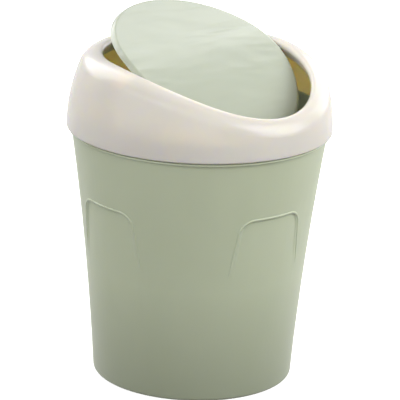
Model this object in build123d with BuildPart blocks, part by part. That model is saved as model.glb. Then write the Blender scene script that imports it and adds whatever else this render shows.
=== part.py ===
"""Small round countertop bin with a lift-off collar and a swing lid.

Three injection-moulded pieces: the tapered bin, the domed collar that drops over the
bin's rim, and the bent lid that swings on two pins moulded with it. The bin stands on
z = 0 around the z axis. The front, where the mouth is low, faces -Y. All sizes are in
millimetres and angles in degrees.
"""

from build123d import *
from math import asin, degrees, sqrt
import os

os.makedirs("parts", exist_ok=True)

# --- Bin ------------------------------------------------------------------------------
foot_radius = 53.3  # outer wall carried down to the table
shoulder_radius = 67.7  # outer wall under the bead
shoulder_height = 133.6
waist = 1.4  # how far the wall draws in at half height
bin_wall = 1.8
floor_thickness = 2.0
floor_inner_radius = 4.0
foot_edge_radius = 2.0
foot_ring_width = 5.0
foot_ring_height = 1.6
bead_height = 1.4
bead_stand_out = 0.7
bead_edge_radius = 0.5
rim_height = 10.1  # of the rim above the collar's lower edge
rim_edge_radius = 0.6

# --- Grip panels: shallow fields in the wall, deepest at the top, none at the foot -----
panel_count = 4
panel_top = 102.0
panel_foot = 66.0
panel_depth = 0.9
panel_top_width = 38.0
panel_foot_width = 48.0
panel_corner_radius = 8.0
panel_cove_radius = 2.0
bin_turn = -7.5  # the round bin can stand at any angle under the collar

# --- Collar ---------------------------------------------------------------------------
collar_foot_gap = 0.6  # over the bin's bead
collar_overhang = 2.9  # of the lower edge, past the bin's shoulder
dome_radius = 92.0  # of the side's curve, as seen from the side
collar_wall = 2.0
collar_foot_edge_radius = 0.8
crest = 40.1  # top of the lip over the back half, above the lower edge
bend_start = 13.2  # behind the bin's axis, where the mouth starts to curve down
bend_radius = 153.0
lip_front_width = 8.2
lip_back_width = 11.0
lip_outer_radius = 10.0
lip_inner_radius = 2.0
flange_wall = 1.8  # the lip turns down around the mouth
flange_depth = 7.0
flange_rim_gap = 1.0  # between its lowest edge and the bin's rim
rib_count = 4  # seat ribs, which stand on the bin's rim
rib_thickness = 1.6
rib_reach = 1.0  # inside the rim's inner edge
neck_gap = 0.3  # around the bin's neck

# --- Swing lid ------------------------------------------------------------------------
lid_gap = 1.5  # around the lid, in the mouth
lid_set_in = 0.4  # lid's top below the crest when it is closed
lid_thickness = 2.4
lid_top_edge_radius = 1.6
swing_open = 22.0  # the lid stands this far open, front pushed in

# --- Pivots: pins on the lid's ears, in sockets behind the collar's flange ------------
pivot_height = 35.47  # above the collar's lower edge
pivot_forward = 4.65  # in front of the bin's axis, over the lid's own balance point
pin_radius = 1.4
pin_past_flange = 1.5
pin_end_chamfer = 0.4
pin_clearance = 0.08
pin_end_gap = 0.4
ear_radius = 3.6
ear_thickness = 2.2
ear_inset = 1.2
cross_rib_thickness = 1.6
cross_rib_height = 3.2
socket_radius = 4.6  # of the boss that joins the flange to the collar's side

# --- Levels and reach, worked out -----------------------------------------------------
bead_z = shoulder_height + bead_height
collar_foot = bead_z + collar_foot_gap
collar_radius = shoulder_radius + collar_overhang
rim_z = collar_foot + rim_height
crest_z = collar_foot + crest
bend_centre_z = crest_z - bend_radius
front_reach = collar_radius - lip_front_width + bend_start
lip_front_z = bend_centre_z + sqrt(bend_radius**2 - front_reach**2)
lid_top_z = crest_z - lid_set_in
pivot_y = -pivot_forward
pivot_z = collar_foot + pivot_height
reach = 2 * collar_radius  # past the whole bin, for cuts right through
over = 6.0  # how far a cutting form stands past what it cuts
near = 0.1  # an edge this close to a face is taken as lying on it


def wall_radius(z, inset=0.0):
    """Radius of the bin's wall at height z, or of a face set in from it."""
    share = z / shoulder_height
    straight = foot_radius + (shoulder_radius - foot_radius) * share
    return straight - 4 * waist * share * (1 - share) - inset


def panel_radius(z):
    """Radius of a grip panel's floor at height z. It leaves the wall at the panel's foot."""
    return wall_radius(z, panel_depth * (z - panel_foot) / (panel_top - panel_foot))


def dome_radius_at(z, inset=0.0):
    """Radius of the collar's side at height z, or of a face set in from it."""
    return collar_radius - dome_radius + sqrt((dome_radius - inset) ** 2 - (z - collar_foot) ** 2)


def mouth_radius_at(z, inset=0.0):
    """Radius of the mouth at height z: the collar's side less the width of its lip."""
    share = (z - lip_front_z) / (crest_z - lip_front_z)
    width = lip_front_width + (lip_back_width - lip_front_width) * share
    return dome_radius_at(z) - width - inset


def turned(radius_at, low, high, plane=Plane.XZ):
    """Half section to turn about the z axis: from the axis to a curved side."""
    middle = (low + high) / 2
    with BuildSketch(plane) as half:
        with BuildLine():
            side = ThreePointArc(
                (radius_at(low), low),
                (radius_at(middle), middle),
                (radius_at(high), high),
            )
            Polyline(side @ 1, (0, high), (0, low), side @ 0)
        make_face()
    return half.sketch


def under_bend(height):
    """Side view of all below the mouth's bent line, which is level over the back half."""
    radius = height - bend_centre_z
    sweep = degrees(asin((collar_radius + over + bend_start) / radius))
    with BuildSketch(Plane.YZ) as side_view:
        with BuildLine():
            level = Line((reach, height), (bend_start, height))
            bend = CenterArc((bend_start, bend_centre_z), radius, 90, sweep)
            Polyline(bend @ 1, ((bend @ 1).X, 0), (reach, 0), level @ 0)
        make_face()
    return side_view.sketch


def around_top(edges):
    """Edges that run round the mouth, without the foot's circle and the bend's own line."""
    upper = edges.filter_by(lambda edge: edge.bounding_box().min.Z > collar_foot + over)
    return upper.filter_by(GeomType.LINE, reverse=True)


# --- Bin body: tapered bucket with a foot ring, a bead and a neck ----------------------
neck_radius = dome_radius_at(rim_z, collar_wall) - neck_gap
neck_bore = neck_radius - bin_wall
floor_z = foot_ring_height + floor_thickness
bead_radius = shoulder_radius + bead_stand_out
ring_bore = foot_radius - foot_edge_radius - foot_ring_width

panel_low = panel_foot - over
between_panels = Plane.XZ.rotated((0, 0, bin_turn + 180 / panel_count))


def on_panel_floor(edge):
    """Whether an edge lies on the floor of a grip panel, above its open foot."""
    middle = edge @ 0.5
    stand_off = sqrt(middle.X**2 + middle.Y**2) - panel_radius(middle.Z)
    return abs(stand_off) < near and middle.Z > panel_low + near


with BuildPart() as grip_panels:
    with BuildSketch(*[
        Plane.YZ.rotated((0, 0, bin_turn + step * 360 / panel_count)) for step in range(panel_count)
    ]) as fields:
        with BuildLine():
            Polyline(
                (-panel_foot_width / 2, panel_low),
                (-panel_top_width / 2, panel_top),
                (panel_top_width / 2, panel_top),
                (panel_foot_width / 2, panel_low),
                close=True,
            )
        make_face()
        fillet(fields.vertices().group_by(Axis.Y)[-1], panel_corner_radius)
    extrude(amount=collar_radius)
    revolve(turned(panel_radius, 0, collar_foot, between_panels), axis=Axis.Z, mode=Mode.SUBTRACT)
    fillet(grip_panels.edges().filter_by(on_panel_floor), panel_cove_radius)

with BuildPart() as bin_body:
    with BuildSketch(Plane.XZ) as bin_section:
        with BuildLine():
            outside = ThreePointArc(
                (wall_radius(0), 0),
                (wall_radius(shoulder_height / 2), shoulder_height / 2),
                (wall_radius(shoulder_height), shoulder_height),
            )
            inside = ThreePointArc(
                (wall_radius(shoulder_height, bin_wall), shoulder_height),
                (wall_radius(shoulder_height / 2, bin_wall), shoulder_height / 2),
                (wall_radius(floor_z, bin_wall), floor_z),
            )
            Polyline(
                outside @ 1,
                (bead_radius, shoulder_height),
                (bead_radius, bead_z),
                (neck_radius, bead_z),
                (neck_radius, rim_z),
                (neck_bore, rim_z),
                (neck_bore, bead_z),
                inside @ 0,
            )
            Polyline(
                inside @ 1,
                (0, floor_z),
                (0, foot_ring_height),
                (ring_bore, foot_ring_height),
                (ring_bore, 0),
                outside @ 0,
            )
        make_face()
        for corner, radius in (
            ((foot_radius, 0), foot_edge_radius),
            (inside @ 1, floor_inner_radius),
            ((bead_radius, shoulder_height), bead_edge_radius),
            ((bead_radius, bead_z), bead_edge_radius),
            ((neck_radius, rim_z), rim_edge_radius),
            ((neck_bore, rim_z), rim_edge_radius),
        ):
            fillet(bin_section.vertices().sort_by_distance(corner)[0], radius)
    revolve(axis=Axis.Z)
    add(grip_panels.part, mode=Mode.SUBTRACT)

bin_body.part.label = "bin_body"
export_step(bin_body.part, "parts/bin_body.step")

# --- Collar: domed ring with a rolled lip, hollow from below ---------------------------
inner_crest_z = crest_z - collar_wall
flange_low = rim_z + flange_rim_gap
pin_end = mouth_radius_at(pivot_z, -flange_wall) + pin_past_flange
hole_end = pin_end + pin_end_gap

with BuildPart() as flange_form:
    revolve(turned(lambda z: mouth_radius_at(z, -flange_wall), flange_low, crest_z + over))
    extrude(under_bend(crest_z - flange_depth), amount=reach, both=True, mode=Mode.SUBTRACT)

with BuildPart() as hollow:
    revolve(turned(lambda z: dome_radius_at(z, collar_wall), collar_foot - over, crest_z + over))
    extrude(under_bend(inner_crest_z), amount=reach, both=True, mode=Mode.INTERSECT)
    fillet(around_top(hollow.edges()), lip_outer_radius - collar_wall)
    add(flange_form.part, mode=Mode.SUBTRACT)
    with BuildSketch(Plane.YZ):
        with Locations((pivot_y, pivot_z)):
            Circle(socket_radius)
    extrude(amount=reach, both=True, mode=Mode.SUBTRACT)

with BuildPart() as seat_ribs:
    with BuildSketch(*[
        Plane.XZ.rotated((0, 0, (step + 0.5) * 360 / rib_count)) for step in range(rib_count)
    ]):
        with Locations((neck_bore - rib_reach, rim_z)):
            Rectangle(collar_radius, crest, align=(Align.MIN, Align.MIN))
    extrude(amount=rib_thickness / 2, both=True)
    add(hollow.part, mode=Mode.INTERSECT)

with BuildPart() as collar:
    with BuildSketch(Plane.XZ) as dome_section:
        add(turned(dome_radius_at, collar_foot, crest_z + over))
        foot_corner = dome_section.vertices().sort_by_distance((collar_radius, collar_foot))[0]
        fillet(foot_corner, collar_foot_edge_radius)
    revolve(axis=Axis.Z)
    extrude(under_bend(crest_z), amount=reach, both=True, mode=Mode.INTERSECT)
    fillet(around_top(collar.edges()), lip_outer_radius)
    revolve(turned(mouth_radius_at, collar_foot - over, crest_z + over), mode=Mode.SUBTRACT)
    fillet(around_top(collar.edges(Select.NEW)), lip_inner_radius)
    add(hollow.part, mode=Mode.SUBTRACT)
    add(seat_ribs.part)
    with BuildSketch(Plane.YZ):
        with Locations((pivot_y, pivot_z)):
            Circle(pin_radius + pin_clearance)
    extrude(amount=hole_end, both=True, mode=Mode.SUBTRACT)

collar.part.label = "collar"
export_step(collar.part, "parts/collar.step")

# --- Swing lid: bent plate with two ears, their pins and a rib between them ------------
# It is drawn closed, level with the mouth, then swung open about its pins.
under_radius = lid_top_z - lid_thickness - bend_centre_z
plate_under_z = bend_centre_z + sqrt(under_radius**2 - (bend_start + pivot_forward) ** 2)
into_plate = lid_thickness / 2  # how far ears and rib go up into the plate
ear_height = plate_under_z - pivot_z + into_plate
ear_face = mouth_radius_at(crest_z) - lid_gap - ear_inset
pivot_axis = Axis((0, pivot_y, pivot_z), (1, 0, 0))

with BuildPart() as pivot_arm:
    with BuildSketch(Plane.YZ.offset(ear_face)):
        with Locations((pivot_y, pivot_z)):
            Circle(ear_radius)
            Rectangle(2 * ear_radius, 2 * ear_radius, align=(Align.CENTER, Align.MIN))
        with Locations((pivot_y, pivot_z + ear_height)):
            Rectangle(
                2 * ear_radius,
                2 * ear_radius,
                align=(Align.CENTER, Align.MIN),
                mode=Mode.SUBTRACT,
            )
    extrude(amount=-ear_thickness)
    with BuildSketch(Plane.YZ.offset(ear_face)):
        with Locations((pivot_y, pivot_z)):
            Circle(pin_radius)
    extrude(amount=pin_end - ear_face)
    chamfer(pivot_arm.faces().sort_by(Axis.X)[-1].edges(), pin_end_chamfer)

with BuildPart() as closed_lid:
    revolve(turned(lambda z: mouth_radius_at(z, lid_gap), collar_foot - over, crest_z + over))
    extrude(under_bend(lid_top_z), amount=reach, both=True, mode=Mode.INTERSECT)
    fillet(around_top(closed_lid.edges()), lid_top_edge_radius)
    extrude(under_bend(lid_top_z - lid_thickness), amount=reach, both=True, mode=Mode.SUBTRACT)
    add(pivot_arm.part)
    mirror(pivot_arm.part, about=Plane.YZ)
    with BuildSketch(Plane.YZ):
        with Locations((pivot_y, plate_under_z - cross_rib_height)):
            rib_height = cross_rib_height + into_plate
            Rectangle(cross_rib_thickness, rib_height, align=(Align.CENTER, Align.MIN))
    extrude(amount=ear_face - ear_thickness / 2, both=True)

with BuildPart() as swing_lid:
    add(closed_lid.part.rotate(pivot_axis, swing_open))

swing_lid.part.label = "swing_lid"
export_step(swing_lid.part, "parts/swing_lid.step")
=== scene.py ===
from math import cos, pi, radians, sin, sqrt

import bmesh
import bpy
from mathutils import Matrix, Vector


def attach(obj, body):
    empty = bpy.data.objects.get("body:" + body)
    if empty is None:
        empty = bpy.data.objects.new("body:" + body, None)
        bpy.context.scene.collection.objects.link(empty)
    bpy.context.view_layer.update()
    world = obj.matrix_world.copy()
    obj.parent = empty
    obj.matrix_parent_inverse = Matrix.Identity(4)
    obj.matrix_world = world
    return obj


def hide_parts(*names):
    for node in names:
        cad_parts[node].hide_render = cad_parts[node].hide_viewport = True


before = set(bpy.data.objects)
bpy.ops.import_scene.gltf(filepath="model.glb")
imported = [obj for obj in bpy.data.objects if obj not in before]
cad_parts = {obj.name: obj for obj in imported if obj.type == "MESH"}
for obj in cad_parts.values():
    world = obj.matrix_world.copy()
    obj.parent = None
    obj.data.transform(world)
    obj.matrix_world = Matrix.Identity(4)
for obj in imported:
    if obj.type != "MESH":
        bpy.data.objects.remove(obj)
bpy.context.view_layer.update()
scene = bpy.context.scene

# --- Bucket -----------------------------------------------------------------------------
# The tapered bin with its foot ring, grip panels, bead and neck: one injection moulding in
# sage-green polypropylene, 1.8 mm thick. Its mould was fine-sanded, so its skin is satin.
BIN_GREEN = "#C7CFB4"
BIN_GREEN_DEEP = "#BFC8AB"
BIN_ROUGHNESS = 0.4
BIN_GRAIN = 0.2
BIN_WAVE_MM = 34  # slow unevenness, left as the wall cools
BIN_WAVE_HEIGHT_MM = 0.08
BIN_WAVE_STRETCH = (1, 1, 0.6)  # the waves run on upwards, as the plastic flowed
BIN_GLOW = 0.15
BIN_GLOW_MM = 4
BIN_TURN = 3.5  # degrees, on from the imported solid
SHARP_EDGE = 32  # degrees, from which an edge stays crisp
MERGE_DISTANCE = 0.00001
FLAT_FACE_WEIGHT = 100

POLYPROPYLENE_IOR = 1.49
MOULD_GRAIN_MM = 0.5  # the real sanding marks are ten times finer and would not show
MOULD_GRAIN_DEPTH_MM = 0.05
CLOUD_DETAIL = 2.0
CLOUD_SWIRL = 0.4
GLOSS_DRIFT = 0.12
GLOW_REACH = (1.0, 0.72, 0.22)  # of red, green and blue light in the plastic
PAINTED_SHADE_HEIGHT = 0.062  # height up to which shade is painted into the colour
PAINTED_SHADE_AT_GROUND = 0.66  # share of the colour that the painted shade leaves at the ground


def linear(hex_colour):
    """An sRGB hex colour as the linear RGBA that a shader takes."""
    parts = [int(hex_colour[i:i + 2], 16) / 255 for i in (1, 3, 5)]
    return [c / 12.92 if c <= 0.04045 else ((c + 0.055) / 1.055) ** 2.4 for c in parts] + [1]


def add_node(material, kind, inputs, **settings):
    """Adds a node with its settings. Each input takes a value, or the socket that feeds it."""
    node = material.node_tree.nodes.new(kind)
    for name, value in settings.items():
        setattr(node, name, value)
    for name, value in inputs.items():
        if isinstance(value, bpy.types.NodeSocket):
            material.node_tree.links.new(value, node.inputs[name])
        else:
            node.inputs[name].default_value = value
    return node


def moulded_plastic(
    name, colours, roughness, grain, wave_mm, wave_height_mm, glow, glow_mm, wave_stretch=(1, 1, 1)
):
    """Injection-moulded polypropylene.

    The colour drifts a little between two shades, the skin carries the mould's grain and slow
    waves, and the gloss is uneven where the plastic cooled last. Shade is painted into the colour
    near the ground: it grows darker towards the bottom.
    Light sinks in by glow_mm and comes out warmer, because the blue end of it is lost first.
    """
    material = bpy.data.materials.new(name)
    material.use_nodes = True
    material.node_tree.nodes.clear()
    place = add_node(material, "ShaderNodeTexCoord", {}).outputs["Object"]
    stretched = add_node(material, "ShaderNodeMapping", {"Vector": place, "Scale": wave_stretch})
    clouds = add_node(
        material,
        "ShaderNodeTexNoise",
        {
            "Vector": stretched.outputs["Vector"],
            "Scale": 1000 / wave_mm,
            "Detail": CLOUD_DETAIL,
            "Distortion": CLOUD_SWIRL,
        },
    )
    grains = add_node(
        material,
        "ShaderNodeTexNoise",
        {"Vector": place, "Scale": 1000 / MOULD_GRAIN_MM, "Detail": 1.0},
    )
    shade = add_node(
        material,
        "ShaderNodeMix",
        {"Factor": clouds.outputs["Fac"], "A": linear(colours[1]), "B": linear(colours[0])},
        data_type="RGBA",
    )
    # Painted shade: below a set height the colour is scaled darker towards the ground.
    height = add_node(material, "ShaderNodeSeparateXYZ", {"Vector": place})
    share = add_node(
        material,
        "ShaderNodeMapRange",
        {"Value": height.outputs["Z"], "From Max": PAINTED_SHADE_HEIGHT, "To Min": PAINTED_SHADE_AT_GROUND},
    )
    colour = add_node(
        material,
        "ShaderNodeVectorMath",
        {"Vector": shade.outputs["Result"], "Scale": share.outputs["Result"]},
        operation="SCALE",
    )
    gloss = add_node(
        material,
        "ShaderNodeMapRange",
        {
            "Value": clouds.outputs["Fac"],
            "To Min": roughness * (1 + GLOSS_DRIFT),
            "To Max": roughness * (1 - GLOSS_DRIFT),
        },
    )
    fine = add_node(
        material,
        "ShaderNodeBump",
        {
            "Height": grains.outputs["Fac"],
            "Strength": grain,
            "Distance": MOULD_GRAIN_DEPTH_MM / 1000,
        },
    )
    slow = add_node(
        material,
        "ShaderNodeBump",
        {
            "Height": clouds.outputs["Fac"],
            "Distance": wave_height_mm / 1000,
            "Normal": fine.outputs["Normal"],
        },
    )
    shader = add_node(
        material,
        "ShaderNodeBsdfPrincipled",
        {
            "Base Color": colour.outputs["Vector"],
            "Roughness": gloss.outputs["Result"],
            "IOR": POLYPROPYLENE_IOR,
            "Normal": slow.outputs["Normal"],
            "Subsurface Weight": glow,
            "Subsurface Radius": GLOW_REACH,
            "Subsurface Scale": glow_mm / 1000,
        },
    )
    add_node(material, "ShaderNodeOutputMaterial", {"Surface": shader.outputs["BSDF"]})
    return material


def add_piece(name, mesh, material):
    """Makes a finished bmesh a smooth object in one material."""
    data = bpy.data.meshes.new(name)
    mesh.to_mesh(data)
    mesh.free()
    data.materials.append(material)
    data.shade_smooth()
    piece = bpy.data.objects.new(name, data)
    scene.collection.objects.link(piece)
    return piece


# Satin skin: broad soft highlights, a fine tooth in them, and nearly opaque.
# Painted shade darkens its colour towards the foot.
satin_green = moulded_plastic(
    "satin_polypropylene_sage",
    colours=(BIN_GREEN, BIN_GREEN_DEEP),
    roughness=BIN_ROUGHNESS,
    grain=BIN_GRAIN,
    wave_mm=BIN_WAVE_MM,
    wave_height_mm=BIN_WAVE_HEIGHT_MM,
    wave_stretch=BIN_WAVE_STRETCH,
    glow=BIN_GLOW,
    glow_mm=BIN_GLOW_MM,
)

# The bin can stand at any angle under its collar. Here it is turned to where its grip panels
# are seen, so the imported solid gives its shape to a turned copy.
bucket_mesh = bmesh.new()
bucket_mesh.from_mesh(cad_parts["bin_body"].data)
bmesh.ops.remove_doubles(bucket_mesh, verts=bucket_mesh.verts, dist=MERGE_DISTANCE)
bmesh.ops.rotate(
    bucket_mesh,
    verts=bucket_mesh.verts,
    cent=(0, 0, 0),
    matrix=Matrix.Rotation(radians(BIN_TURN), 3, "Z"),
)
bucket = add_piece("bin_bucket", bucket_mesh, satin_green)
bucket.data.set_sharp_from_angle(angle=radians(SHARP_EDGE))
flat_walls = bucket.modifiers.new("flat_walls", "WEIGHTED_NORMAL")
flat_walls.keep_sharp = True
flat_walls.weight = FLAT_FACE_WEIGHT
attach(bucket, "bin")
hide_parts("bin_body")

# --- Grip panel ridges ------------------------------------------------------------------
# A low rounded ridge, moulded with the bucket, runs along the top of each grip panel, round
# its corners and down its sides, where it dies out into the satin wall.
FOOT_RADIUS = 0.0533  # of the wall, carried down to the ground
SHOULDER_RADIUS = 0.0677
SHOULDER_HEIGHT = 0.1336
WAIST = 0.0014  # how far the wall draws in at half height
PANEL_COUNT = 4
PANEL_ANGLE = -7.5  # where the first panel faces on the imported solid
PANEL_TOP = 0.102
PANEL_HALF_WIDTH = 0.019  # at the top
PANEL_FLARE = 0.119  # how fast the panel widens downwards
PANEL_CORNER = 0.008
CORNER_STEP = 10  # degrees
RIDGE_RADIUS = 0.0008
RIDGE_STAND_OUT = 0.0004
RIDGE_END = 0.064
RIDGE_FADE = 0.02  # height over which the ridge gains its full thickness
RIDGE_TIP = 0.2  # share of its thickness at its lower end
RIDGE_STEPS = 8


def wall_radius(z):
    """Radius of the bin's wall at height z."""
    share = z / SHOULDER_HEIGHT
    straight = FOOT_RADIUS + (SHOULDER_RADIUS - FOOT_RADIUS) * share
    return straight - 4 * WAIST * share * (1 - share)


# Half the panel's edge, seen from straight in front of it: up its side, round the corner and
# along the top to the middle. Each point is how far across it lies, and how high.
side_top = PANEL_TOP - PANEL_CORNER
side_rise = (side_top - RIDGE_END) / RIDGE_STEPS
levels = [RIDGE_END + side_rise * step for step in range(RIDGE_STEPS + 1)]
side = [(PANEL_HALF_WIDTH + (PANEL_TOP - z) * PANEL_FLARE, z) for z in levels]
corner_middle = side[-1][0] - PANEL_CORNER
corner_angles = [radians(angle) for angle in range(CORNER_STEP, 91, CORNER_STEP)]
corner = [
    (corner_middle + PANEL_CORNER * cos(angle), side_top + PANEL_CORNER * sin(angle))
    for angle in corner_angles
]
half_edge = side + corner + [(corner_middle / 2, PANEL_TOP)]
other_half = [(-across, z) for across, z in reversed(half_edge)]
panel_edge = half_edge + [(0, PANEL_TOP)] + other_half

ridge_curve = bpy.data.curves.new("bin_panel_ridges", "CURVE")
ridge_curve.dimensions = "3D"
ridge_curve.bevel_depth = RIDGE_RADIUS
ridge_curve.bevel_resolution = 4
ridge_curve.use_fill_caps = True
for panel in range(PANEL_COUNT):
    ridge = ridge_curve.splines.new("POLY")
    ridge.points.add(len(panel_edge) - 1)
    panel_faces = radians(PANEL_ANGLE + BIN_TURN + 360 / PANEL_COUNT * panel)
    turn = Matrix.Rotation(panel_faces, 3, "Z")
    for point, (across, z) in zip(ridge.points, panel_edge):
        reach = wall_radius(z) - RIDGE_RADIUS + RIDGE_STAND_OUT
        place = turn @ Vector((sqrt(reach**2 - across**2), across, z))
        point.co = (*place, 1)
        point.radius = min(1, (z - RIDGE_END) / RIDGE_FADE + RIDGE_TIP)
ridge_curve.materials.append(satin_green)
ridges = bpy.data.objects.new("bin_panel_ridges", ridge_curve)
scene.collection.objects.link(ridges)
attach(ridges, "bin")

# --- Bead roll --------------------------------------------------------------------------
# The rounded outer edge of the bead, moulded with the bucket. It goes once round the bin just
# under the collar.
BEAD_RADIUS = 0.0686  # to the middle of the roll
BEAD_HEIGHT = 0.1343
BEAD_ROLL = 0.0006

bead_mesh = bmesh.new()
bmesh.ops.create_circle(
    bead_mesh,
    segments=16,
    radius=BEAD_ROLL,
    matrix=Matrix.Translation((BEAD_RADIUS, 0, BEAD_HEIGHT)) @ Matrix.Rotation(pi / 2, 4, "X"),
)
bmesh.ops.spin(
    bead_mesh,
    geom=bead_mesh.verts[:] + bead_mesh.edges[:],
    axis=(0, 0, 1),
    cent=(0, 0, 0),
    angle=2 * pi,
    steps=160,
    use_merge=True,
)
bmesh.ops.recalc_face_normals(bead_mesh, faces=bead_mesh.faces)
bead = add_piece("bin_bead_roll", bead_mesh, satin_green)
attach(bead, "bin")

# --- Gate stub --------------------------------------------------------------------------
# The mould was filled through a gate in the middle of the bin's floor. Its short stub, cut off
# with a slightly rounded edge, is left on the underside.
FLOOR_UNDERSIDE = 0.0016
GATE_RADIUS = 0.0022
GATE_TAPER = 0.7  # of the lower end to the upper one
GATE_LENGTH = 0.0007
GATE_SEAT = 0.0001  # how far it is let into the floor
GATE_EDGE = 0.0002

gate_middle = FLOOR_UNDERSIDE + GATE_SEAT - GATE_LENGTH / 2
gate_mesh = bmesh.new()
bmesh.ops.create_cone(
    gate_mesh,
    cap_ends=True,
    segments=32,
    radius1=GATE_RADIUS * GATE_TAPER,
    radius2=GATE_RADIUS,
    depth=GATE_LENGTH,
    matrix=Matrix.Translation((0, 0, gate_middle)),
)
lower_rim = [
    edge for edge in gate_mesh.edges if all(vert.co.z < gate_middle for vert in edge.verts)
]
bmesh.ops.bevel(
    gate_mesh,
    geom=lower_rim,
    offset=GATE_EDGE,
    segments=3,
    profile=0.5,
    affect="EDGES",
    material=-1,
)
gate = add_piece("bin_gate_stub", gate_mesh, satin_green)
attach(gate, "bin")

# --- Collar -----------------------------------------------------------------------------
# The lift-off top with its rolled, bent lip and the skirt that drops over the bin's neck: one
# injection moulding in cream-white polypropylene from a polished mould. The wall is thin and
# unfilled, so it glows gold inside where light comes through it.
COLLAR_CREAM = "#F1E2D5"
COLLAR_CREAM_DEEP = "#ECDCCD"
COLLAR_ROUGHNESS = 0.22
COLLAR_WAVE_MM = 30
COLLAR_WAVE_HEIGHT_MM = 0.05
COLLAR_GLOW = 0.6
COLLAR_GLOW_MM = 10


def finish_node(name, material):
    """Gives a CAD node its material."""
    for material_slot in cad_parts[name].material_slots:
        material_slot.material = material


# Polished skin: small crisp highlights that waver slightly, over a milky body.
glossy_cream = moulded_plastic(
    "glossy_polypropylene_cream",
    colours=(COLLAR_CREAM, COLLAR_CREAM_DEEP),
    roughness=COLLAR_ROUGHNESS,
    grain=0,
    wave_mm=COLLAR_WAVE_MM,
    wave_height_mm=COLLAR_WAVE_HEIGHT_MM,
    glow=COLLAR_GLOW,
    glow_mm=COLLAR_GLOW_MM,
)
finish_node("collar", glossy_cream)

# --- Swing lid --------------------------------------------------------------------------
# The bent round plate that swings on its two moulded pins in the collar's mouth: injection
# moulded in a paler sage polypropylene. Its long thin plate cools unevenly, which leaves
# shallow ripples along the pins that show in its semi-gloss skin.
LID_GREEN = "#B8BFAD"
LID_GREEN_DEEP = "#B2B9A6"
LID_ROUGHNESS = 0.25
LID_GRAIN = 0.05
LID_RIPPLE_MM = 18
LID_RIPPLE_HEIGHT_MM = 1.4  # taller than the real ones, which would not show
LID_RIPPLE_STRETCH = (0.3, 1, 1)  # the ripples run along the pins
LID_GLOW = 0.15
LID_GLOW_MM = 4

# Semi-gloss skin: a soft sheen that the ripples break up.
semi_gloss_green = moulded_plastic(
    "semi_gloss_polypropylene_sage",
    colours=(LID_GREEN, LID_GREEN_DEEP),
    roughness=LID_ROUGHNESS,
    grain=LID_GRAIN,
    wave_mm=LID_RIPPLE_MM,
    wave_height_mm=LID_RIPPLE_HEIGHT_MM,
    wave_stretch=LID_RIPPLE_STRETCH,
    glow=LID_GLOW,
    glow_mm=LID_GLOW_MM,
)
finish_node("swing_lid", semi_gloss_green)

# --- Floor and surroundings -------------------------------------------------------------
# A wide sheet of matt paper under a plain white studio. The camera and the gloss on the bin
# see both as white, but the paper throws back only part of the lamps' light.
PAPER_GREY = "#5C5B57"
PAPER_WHITE = "#F2F2F0"
PAPER_WHITENESS = 0.66
PAPER_REACH = 6
STUDIO_LEVEL = 0.1  # of the light that it gives to matt surfaces


def seen_white(material, view, level):
    """How strongly a surface shines for the camera, at this level, and for gloss, fully."""
    to_camera = add_node(
        material,
        "ShaderNodeMath",
        {0: view.outputs["Is Camera Ray"], 1: level},
        operation="MULTIPLY",
    )
    to_both = add_node(
        material,
        "ShaderNodeMath",
        {0: to_camera.outputs["Value"], 1: view.outputs["Is Glossy Ray"]},
        operation="MAXIMUM",
    )
    return to_both.outputs["Value"]


# Matt paper: no highlight. The camera sees it white, with the bin's soft shadow on it.
paper = bpy.data.materials.new("matt_paper_white")
paper.use_nodes = True
paper.node_tree.nodes.clear()
paper_view = add_node(paper, "ShaderNodeLightPath", {})
paper_colour = add_node(
    paper,
    "ShaderNodeMix",
    {
        "Factor": paper_view.outputs["Is Camera Ray"],
        "A": linear(PAPER_GREY),
        "B": linear(PAPER_WHITE),
    },
    data_type="RGBA",
)
paper_matt = add_node(paper, "ShaderNodeBsdfDiffuse", {"Color": paper_colour.outputs["Result"]})
paper_shine = add_node(
    paper,
    "ShaderNodeEmission",
    {"Color": (1, 1, 1, 1), "Strength": seen_white(paper, paper_view, PAPER_WHITENESS)},
)
paper_sum = add_node(
    paper,
    "ShaderNodeAddShader",
    {0: paper_matt.outputs["BSDF"], 1: paper_shine.outputs["Emission"]},
)
add_node(paper, "ShaderNodeOutputMaterial", {"Surface": paper_sum.outputs["Shader"]})

floor_mesh = bmesh.new()
bmesh.ops.create_grid(floor_mesh, x_segments=1, y_segments=1, size=PAPER_REACH)
floor = add_piece("floor", floor_mesh, paper)

studio = bpy.data.worlds.new("white_studio")
scene.world = studio
studio.use_nodes = True
studio.node_tree.nodes.clear()
studio_view = add_node(studio, "ShaderNodeLightPath", {})
studio_level = add_node(
    studio,
    "ShaderNodeMath",
    {0: seen_white(studio, studio_view, 1), 1: STUDIO_LEVEL},
    operation="MAXIMUM",
)
studio_light = add_node(
    studio,
    "ShaderNodeBackground",
    {"Color": (1, 1, 1, 1), "Strength": studio_level.outputs["Value"]},
)
add_node(studio, "ShaderNodeOutputWorld", {"Surface": studio_light.outputs["Background"]})

# --- Lamps ------------------------------------------------------------------------------
# Square softboxes round the object, turned to its middle. Azimuth 0 is the front of the bin
# and grows towards its right side.
LAMP_AIM = 0.1  # height that they are turned to


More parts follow.
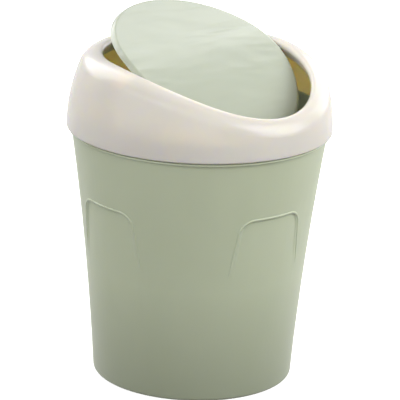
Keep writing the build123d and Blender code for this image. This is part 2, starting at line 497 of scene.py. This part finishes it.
def softbox(name, azimuth, elevation, distance, size, power):
    """A square lamp that looks at the middle of the object."""
    lamp_data = bpy.data.lights.new(name, "AREA")
    lamp_data.size = size
    lamp_data.energy = power
    lamp = bpy.data.objects.new(name, lamp_data)
    lamp.matrix_world = (
        Matrix.Translation((0, 0, LAMP_AIM))
        @ Matrix.Rotation(radians(azimuth), 4, "Z")
        @ Matrix.Rotation(radians(-elevation), 4, "X")
        @ Matrix.Translation((0, -distance, 0))
        @ Matrix.Rotation(pi / 2, 4, "X")
    )
    scene.collection.objects.link(lamp)


softbox("key_right", azimuth=31.4, elevation=28, distance=0.85, size=0.65, power=5.6)
softbox("back_right", azimuth=96, elevation=22, distance=1.0, size=0.75, power=3.9)
softbox("left", azimuth=-100, elevation=22, distance=1.0, size=0.75, power=2.8)
softbox("window", azimuth=115.4, elevation=43, distance=1.6, size=0.5, power=1.6)
softbox("near_back", azimuth=-173.6, elevation=38, distance=0.8, size=0.7, power=4.6)
softbox("near_front", azimuth=-50, elevation=28, distance=0.8, size=0.75, power=2.8)

# --- Camera -----------------------------------------------------------------------------
# A long lens, a little above the bin and to the left of its front, as the photograph was
# taken. Its place was fitted to the bin's outline.
CAMERA_AZIMUTH = -43.6
CAMERA_DISTANCE = 1.528
CAMERA_HEIGHT = 0.5745
CAMERA_TURN = -0.001  # radians, as the next two
CAMERA_PITCH = 0.3043
CAMERA_ROLL = 0.034
CAMERA_LENS_MM = 270
CAMERA_SENSOR_MM = 36

camera_data = bpy.data.cameras.new("camera")
camera_data.sensor_width = CAMERA_SENSOR_MM
camera_data.lens = CAMERA_LENS_MM
camera = bpy.data.objects.new("camera", camera_data)
camera.matrix_world = (
    Matrix.Rotation(radians(CAMERA_AZIMUTH), 4, "Z")
    @ Matrix.Translation((0, -CAMERA_DISTANCE, CAMERA_HEIGHT))
    @ Matrix.Rotation(CAMERA_TURN, 4, "Z")
    @ Matrix.Rotation(pi / 2 - CAMERA_PITCH, 4, "X")
    @ Matrix.Rotation(CAMERA_ROLL, 4, "Z")
)
scene.collection.objects.link(camera)
scene.camera = camera
scene.view_settings.view_transform = "Standard"
